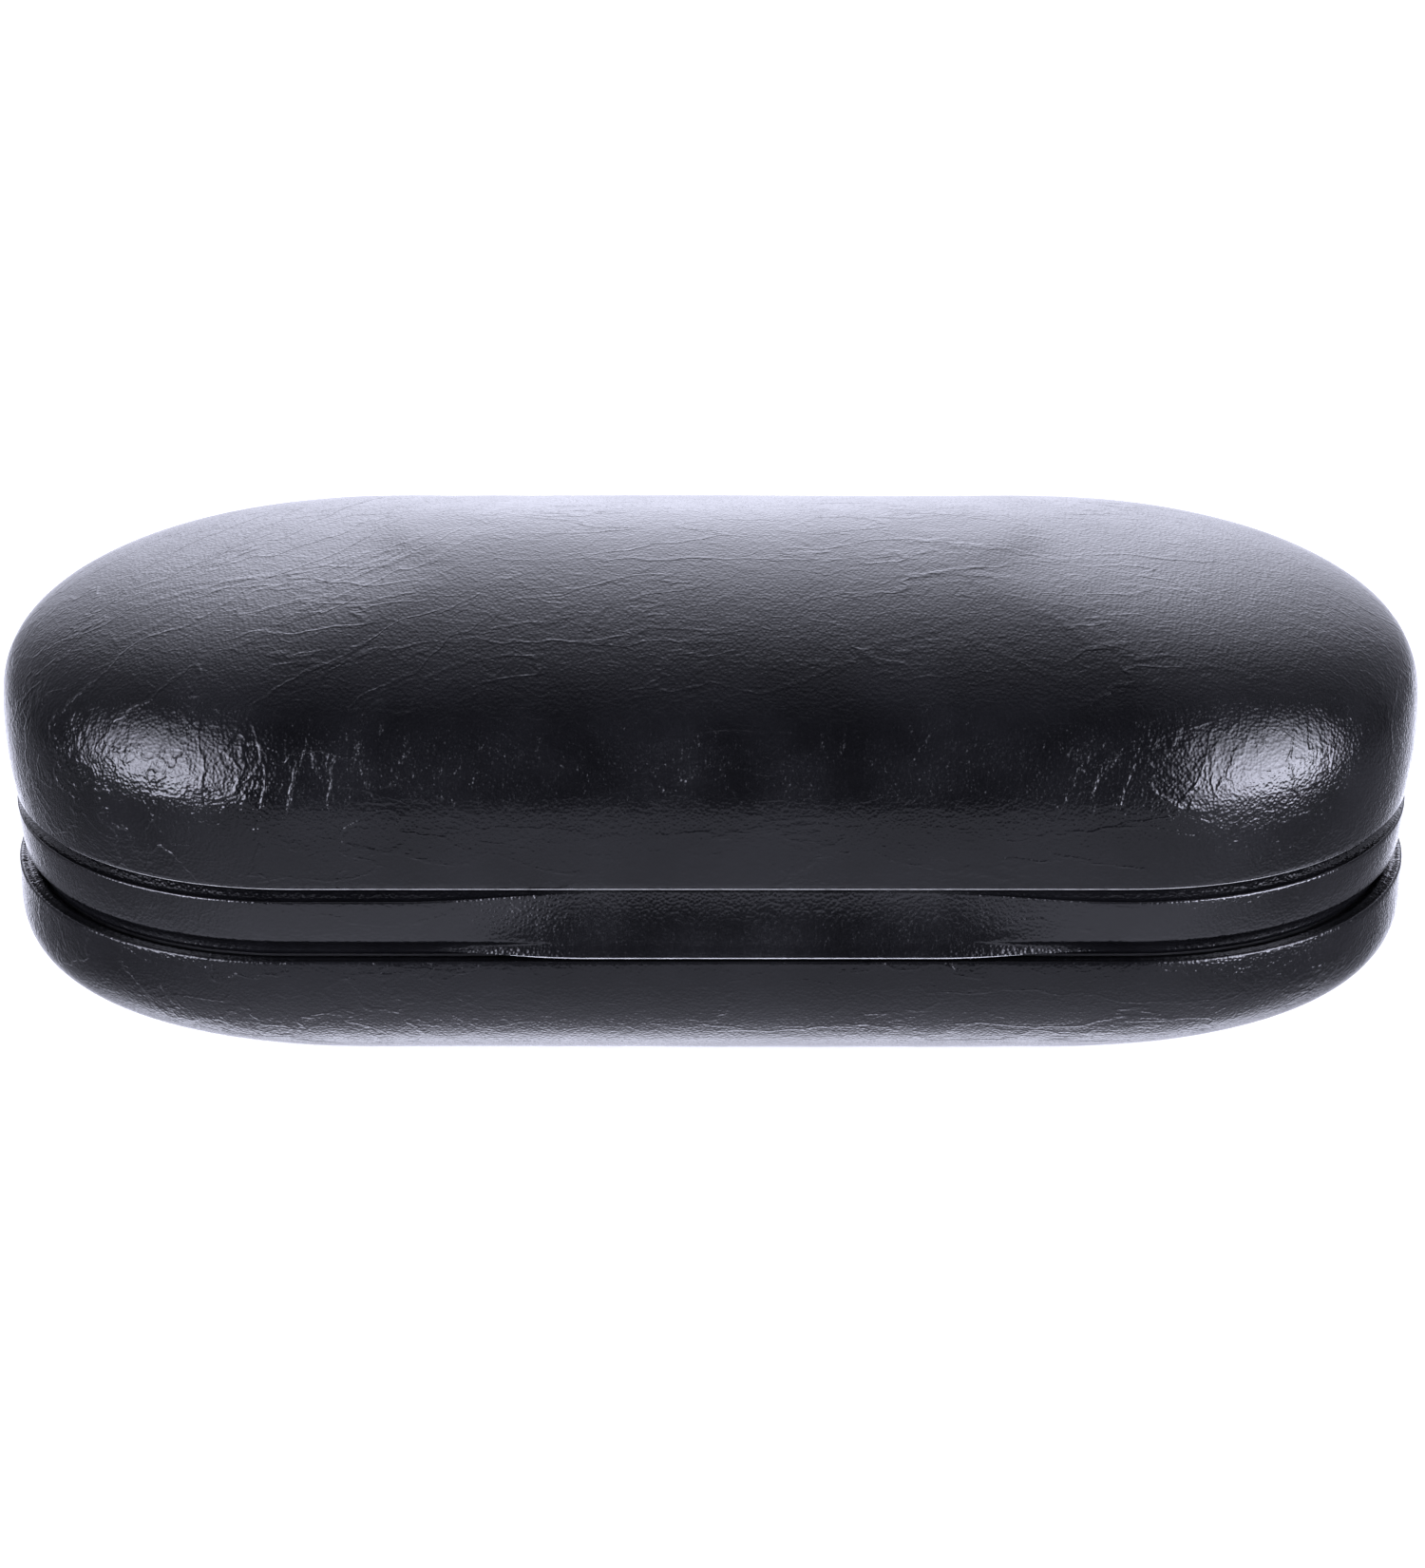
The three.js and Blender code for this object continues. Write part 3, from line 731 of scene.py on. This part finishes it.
def collar_cover():
    """The collar's skin, with the scoop's lip in the light grey edge: rubbed coating and a painted
    highlight along it.
    """
    top = [(COLLAR_INNER, COLLAR_TOP - 0.3), (COLLAR_INNER - 0.3, COLLAR_TOP), (4.2, COLLAR_TOP)]
    lip = [(COLLAR_FOOT_INSET, LIP - drop) for drop in (0, 0.06, 0.12)]
    tail = [(COLLAR_FOOT_INSET, COLLAR_TAIL)]
    outside = wall_rows(np.concatenate([top, collar_section(0), lip, tail]))
    # The inner face leaves out the outside's foot and neck, and closes with a level roof.
    inner_face = collar_section(COLLAR_SKIN)[::-1][1:-4]
    roof = [(3.4, COLLAR_TOP - SKIN), (COLLAR_INNER, COLLAR_TOP - SKIN)]
    inside = wall_rows(np.concatenate([[(4.0, COLLAR_TAIL)], inner_face, roof]))
    surface = press_leather(ring_points(outside, FINE), COLLAR_PATCHES, [], 31)
    carve_scoop(surface, 0)
    lip_start = len(surface) - len(lip) - len(tail)
    # The lip thins out towards the scoop's ends.
    lip_width = 0.2 + 0.8 * smoothstep(np.abs(surface[0, :, 0] - SCOOP_MIDDLE), 31, 24)
    surface[lip_start + 1:lip_start + 3, :, 2] = LIP - np.outer((0.05, 0.1), lip_width)
    lining = ring_points(inside, FINE)
    carve_scoop(lining, COLLAR_SKIN)
    points = np.concatenate([surface, lining])
    shift_edge(points, COLLAR_TOP, -1.5, 4)
    cover = hoop_skin("collar_leatherette", points, TIGHT_LEATHER)
    # The lip's light grey band is partly a rubbed edge and partly a painted highlight for the lit edge
    # above the rim.
    furthest_in = 1.9
    carried_out = surface[lip_start, :, 1] < MIDDLE_Y + furthest_in - END_RADIUS
    finish_rows(cover, RUBBED_EDGE_AND_PAINTED_HIGHLIGHT, points.shape[1], lip_start, lip_start + 2, carried_out)
    return cover


# ---- Flocked linings ----

def lid_lining():
    """The lid's insert, vacuum formed to its inside, with a low edge and a notch at the hinge."""
    outer, inner = 3.0, 3.8
    edge = SEAM + 0.3
    crown, wall = lid_rows(inner, smooth_levels(60)), lid_wall(inner, WIDEST, edge + 0.3, 12)
    inside = evenly(np.concatenate([crown, wall[1:]]), COARSE)
    lip = lid_wall(inner - 0.3, edge, edge, 1)
    outside = np.concatenate([lid_wall(outer, edge, WIDEST, 6), lid_rows(outer, smooth_levels(24)[::-1])])
    points = ring_points(np.concatenate([inside, lip, outside]), COARSE)
    shift_edge(points, edge, 7.2, 12)
    return domed_skin("lid_flock_lining", points, FLOCK)


def base_lining():
    """The base's insert, from the collar's top down its inside to the floor."""
    outer = COLLAR_INNER + 0.3
    inner = outer + SKIN
    floor = 2.3
    top = COLLAR_TOP - 0.3
    bowl = base_rows(inner - RIM_INSET, floor + SKIN, np.linspace(1, 0, 60) ** 0.6)
    inside = np.concatenate([[[0, 0, floor + SKIN]], bowl, wall_rows([(inner, top - 0.3)])])
    inside = evenly(inside, COARSE)
    lip = wall_rows([(inner - 0.3, top), (outer + 0.2, top), (outer, top - 0.3)])
    outside = base_rows(outer - RIM_INSET, floor, np.linspace(0, 1, 14))
    outside = np.concatenate([outside, [[0, 0, floor]]])
    points = ring_points(np.concatenate([inside, lip, outside]), COARSE)
    shift_edge(points, top, -7.4, 12)
    return domed_skin("base_flock_lining", points, FLOCK)


# ---- Strips over the hinge ----

# A high power thins a sheet only close to its long edges.
SHEET_EDGE_POWER = 80


def sheet_along(line, thickness, half_width, corner, step):
    """A thin closed sheet that follows a line of (y, z) points, with rounded corners."""
    line = np.array(line, float)
    travel = np.concatenate([[0], np.cumsum(np.linalg.norm(np.diff(line, axis=0), axis=1))])
    places = np.linspace(0, travel[-1], round(travel[-1] / step) + 1)
    path = np.stack([np.interp(places, travel, column) for column in line.T], axis=1)
    for _ in range(3):
        path[1:-1] = (path[:-2] + 2 * path[1:-1] + path[2:]) / 4
    along = np.gradient(path, axis=0)
    along /= np.linalg.norm(along, axis=1, keepdims=True)
    facing = np.stack([along[:, 1], -along[:, 0]], axis=1)
    to_end = np.minimum(places, travel[-1] - places)
    cut = corner - np.sqrt(np.clip(corner**2 - np.clip(corner - to_end, 0, corner) ** 2, 0, None))
    half = half_width - cut
    columns = np.linspace(-1, 1, round(2 * half_width / step) + 1)
    sheet = []
    for side in (1, -1):
        rounding = np.sqrt(1 - np.abs(columns) ** SHEET_EDGE_POWER)
        shift = side * thickness / 2 * rounding[None, :, None] * facing[:, None, :]
        yz = path[:, None, :] + shift
        x = half[:, None] * columns[None, :]
        layer = np.concatenate([x[..., None], yz], axis=2)
        sheet.append(layer if side == 1 else layer[:, ::-1])
    return np.concatenate(sheet, axis=1)


def closed_sheet(name, points, material):
    """A sheet drawn as closed bands, with its two ends filled."""
    rows, columns = points.shape[:2]
    index = np.arange(rows * columns).reshape(rows, columns)
    faces = grid_faces(index)
    half = columns // 2
    for row in (index[0], index[-1]):
        front, back = row[:half], row[half:][::-1]
        pairs = zip(front[:-1], front[1:], back[1:], back[:-1])
        faces += [[int(corner) for corner in quad] for quad in pairs]
    return add_mesh(name, points.reshape(-1, 3), faces, material)


def outer_strip():
    """Leatherette from the collar round the barrel to the lid."""
    axis_y, axis_z = HINGE[1], HINGE[2]
    thickness = 0.6
    barrel = STRIP_HIGH[1] - axis_y - thickness / 2
    wall = HINGE[1] - 0.5 + thickness
    low, high = STRIP_LOW[2], STRIP_HIGH[2]
    # Up the collar, out round the barrel, and up the lid's wall.
    line = [(wall - 0.15, low), (wall + 0.2, axis_z - 4), (wall + 0.2, axis_z - 2.6)]
    for turn in np.radians(np.linspace(-50, 50, 9)):
        line.append((axis_y + barrel * math.cos(turn), axis_z + barrel * math.sin(turn)))
    line += [(wall + 0.35, axis_z + 3), (wall + 0.7, axis_z + 5), (wall + 0.95, high)]
    points = sheet_along(line, thickness, STRIP_HIGH[0], 3, FINE)
    return closed_sheet("hinge_cover_strip", points, LEATHER)


def inner_strip():
    """Flocked cloth over the hinge leaves, glued to the two linings."""
    axis_y, axis_z = HINGE[1], HINGE[2]
    back, front = INNER_HIGH[1] - 0.5, INNER_LOW[1] + 0.4
    low, high = INNER_LOW[2], INNER_HIGH[2]
    # Up the base's lining, back over the leaves, and forward to the lid's lining.
    line = [(front, low), (front, axis_z - 3.6), (back - 0.3, axis_z - 1.6), (back, axis_z),
            (back, axis_z + 1.6), (front + 1.0, axis_z + 3.4), (front + 1.3, high)]
    points = sheet_along(line, 0.6, INNER_HIGH[0], 2, 0.8)
    return closed_sheet("hinge_lining_strip", points, FLOCK)


# ---- The floor, the camera and the light ----

def make_floor():
    """A wide pale floor that doesn't show in the case's gloss, where the studio does."""
    size = 6.0
    mesh = bpy.data.meshes.new("floor")
    corners = [(-size, -size, 0), (size, -size, 0), (size, size, 0), (-size, size, 0)]
    mesh.from_pydata(corners, [], [(0, 1, 2, 3)])
    mesh.materials.append(pale_floor())
    floor = bpy.data.objects.new("floor", mesh)
    floor.visible_glossy = False
    bpy.context.scene.collection.objects.link(floor)


def make_camera():
    """Stands in front, a little over twenty degrees above the floor, with a long lens."""
    elevation = math.radians(23.9)
    distance = 0.7
    target = Vector((0.0002, 0, 0.0265))
    back = Vector((0, -math.cos(elevation), math.sin(elevation)))
    data = bpy.data.cameras.new("camera")
    data.lens = 134.0
    data.sensor_width = 36.0
    camera = bpy.data.objects.new("camera", data)
    camera.location = target + back * distance
    camera.rotation_euler = (-back).to_track_quat("-Z", "Y").to_euler()
    bpy.context.scene.collection.objects.link(camera)
    bpy.context.scene.camera = camera


STUDIO_TINT = (0.82, 0.835, 1.0)

# How bright the studio is at each angle in degrees from the middle of the light behind the case.
BACKLIGHT = [(0, 4.1), (22, 3.4), (38, 1.8), (60, 0.5), (86, 0.1), (104, 0.02)]


def backlight(tree, direction):
    """A broad soft light, highest behind the case and fading to a dim room in front of it."""
    height = math.radians(28)
    aim = (0, math.cos(height), math.sin(height))
    flattened = node(tree, "ShaderNodeVectorMath", {0: direction, 1: (2.2, 1, 1)}, operation="MULTIPLY")
    unit = node(tree, "ShaderNodeVectorMath", {0: flattened.outputs[0]}, operation="NORMALIZE")
    facing = node(tree, "ShaderNodeVectorMath", {0: unit.outputs[0], 1: aim}, operation="DOT_PRODUCT")
    brightest = BACKLIGHT[0][1]
    ramp = node(tree, "ShaderNodeValToRGB", {"Fac": spread(tree, facing.outputs["Value"], -1, 1)})
    stops = ramp.color_ramp.elements
    while len(stops) < len(BACKLIGHT):
        stops.new(0.5)
    for stop, (angle, brightness) in zip(stops, reversed(BACKLIGHT)):
        stop.position = (math.cos(math.radians(angle)) + 1) / 2
        stop.color = (*[brightness / brightest] * 3, 1)
    return product(tree, ramp.outputs["Color"], brightest)


def side_panels(tree, direction, along):
    """Two tall panels at the front corners, crisp below, fading upwards, the right one brighter."""
    level = node(tree, "ShaderNodeVectorMath", {0: direction, 1: (1, 1, 0)}, operation="MULTIPLY")
    bearing = node(tree, "ShaderNodeVectorMath", {0: level.outputs[0]}, operation="NORMALIZE")
    depth = node(tree, "ShaderNodeSeparateXYZ", {"Vector": bearing.outputs[0]}).outputs["Y"]
    x, z = along.outputs["X"], along.outputs["Z"]
    far_side = spread(tree, depth, -0.12, spread(tree, x, -0.1, 0.1, -0.55, -0.4))
    width = product(tree, spread(tree, depth, -0.95, -0.8), far_side)
    low, high = spread(tree, x, -0.1, 0.1, -0.16, -0.27), spread(tree, x, -0.1, 0.1, -0.11, -0.2)
    height = product(tree, spread(tree, z, low, high), spread(tree, z, 0.75, -0.1))
    brightness = spread(tree, x, -0.1, 0.1, 17, 19)
    return product(tree, product(tree, width, height), brightness)


def make_world():
    """The studio round the case: backlight, dim room and pale table, and plain white to the camera."""
    world = bpy.data.worlds.new("studio")
    bpy.context.scene.world = world
    world.use_nodes = True
    tree = world.node_tree
    direction = node(tree, "ShaderNodeTexCoord").outputs["Generated"]
    along = node(tree, "ShaderNodeSeparateXYZ", {"Vector": direction})
    sideways = node(tree, "ShaderNodeMath", {0: along.outputs["X"]}, operation="ABSOLUTE").outputs[0]
    far = spread(tree, along.outputs["Z"], -0.8, -0.62)
    aside = product(tree, spread(tree, sideways, 0.3, 0.8, 0, -0.4), far)
    near = spread(tree, along.outputs["Z"], -0.75, -0.95, 0.66, 0.85)
    below = spread(tree, along.outputs["Z"], -0.7, -0.85)
    under = product(tree, spread(tree, along.outputs["Y"], 0.1, 0.7, 0, 4), below)
    table = total(tree, near, aside, under, spread(tree, along.outputs["Y"], 0.7, 0.93, 0, 3))
    above = spread(tree, along.outputs["Z"], -0.375, -0.21)
    lights = total(tree, backlight(tree, direction), side_panels(tree, direction, along))
    studio = node(tree, "ShaderNodeMix", {"Factor": above, "A": table, "B": lights})
    seen = node(tree, "ShaderNodeLightPath").outputs["Is Camera Ray"]
    strength = node(tree, "ShaderNodeMix", {"Factor": seen, "A": studio.outputs["Result"], "B": 1.4})
    background = tree.nodes["Background"]
    background.inputs["Color"].default_value = (*STUDIO_TINT, 1)
    tree.links.new(strength.outputs["Result"], background.inputs["Strength"])


def make_studio():
    make_floor()
    make_camera()
    make_world()
    bpy.context.scene.view_settings.view_transform = "Standard"


# ---- Putting it together ----

def dress(piece, body, slot, *nodes):
    """Makes a fine piece stand for CAD nodes and ride on their body."""
    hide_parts(*nodes)
    if body:
        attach(piece, body)


def wrap_hinge():
    """Both strips, standing in for the CAD strips, with their placing baked into their meshes."""
    outer = outer_strip()
    inner = inner_strip()
    dress(outer, None, "leatherette", "hinge_strip_outer")
    dress(inner, None, "flock", "hinge_strip_inner")
    for strip in (outer, inner):
        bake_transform(strip)


def finish_frame_nodes():
    """Gives the nodes that keep their CAD shape their materials."""
    shell = steel("pressed_steel", 0.35, (1, 1, 1))
    hardware = steel("hinge_steel", 0.22, (0.08, 1, 1))
    plastic = moulded_plastic()
    for name, obj in frame["nodes"].items():
        if name.endswith("_shell"):
            finish = shell
        elif name == "collar_frame":
            finish = plastic
        elif name.endswith(("cover", "outer")):
            finish = LEATHER
        elif name.endswith(("lining", "inner")):
            finish = FLOCK
        else:
            finish = hardware
        for slot in obj.material_slots:
            slot.material = finish


make_studio()
finish_frame_nodes()
dress(base_cover(), "base", "leatherette", "base_cover")
dress(collar_cover(), "base", "leatherette", "collar_cover")
dress(base_lining(), "base", "flock", "base_lining")
dress(lid_cover(), "lid", "leatherette", "lid_cover")
dress(lid_lining(), "lid", "flock", "lid_lining")
wrap_hinge()

bpy.context.view_layer.update()
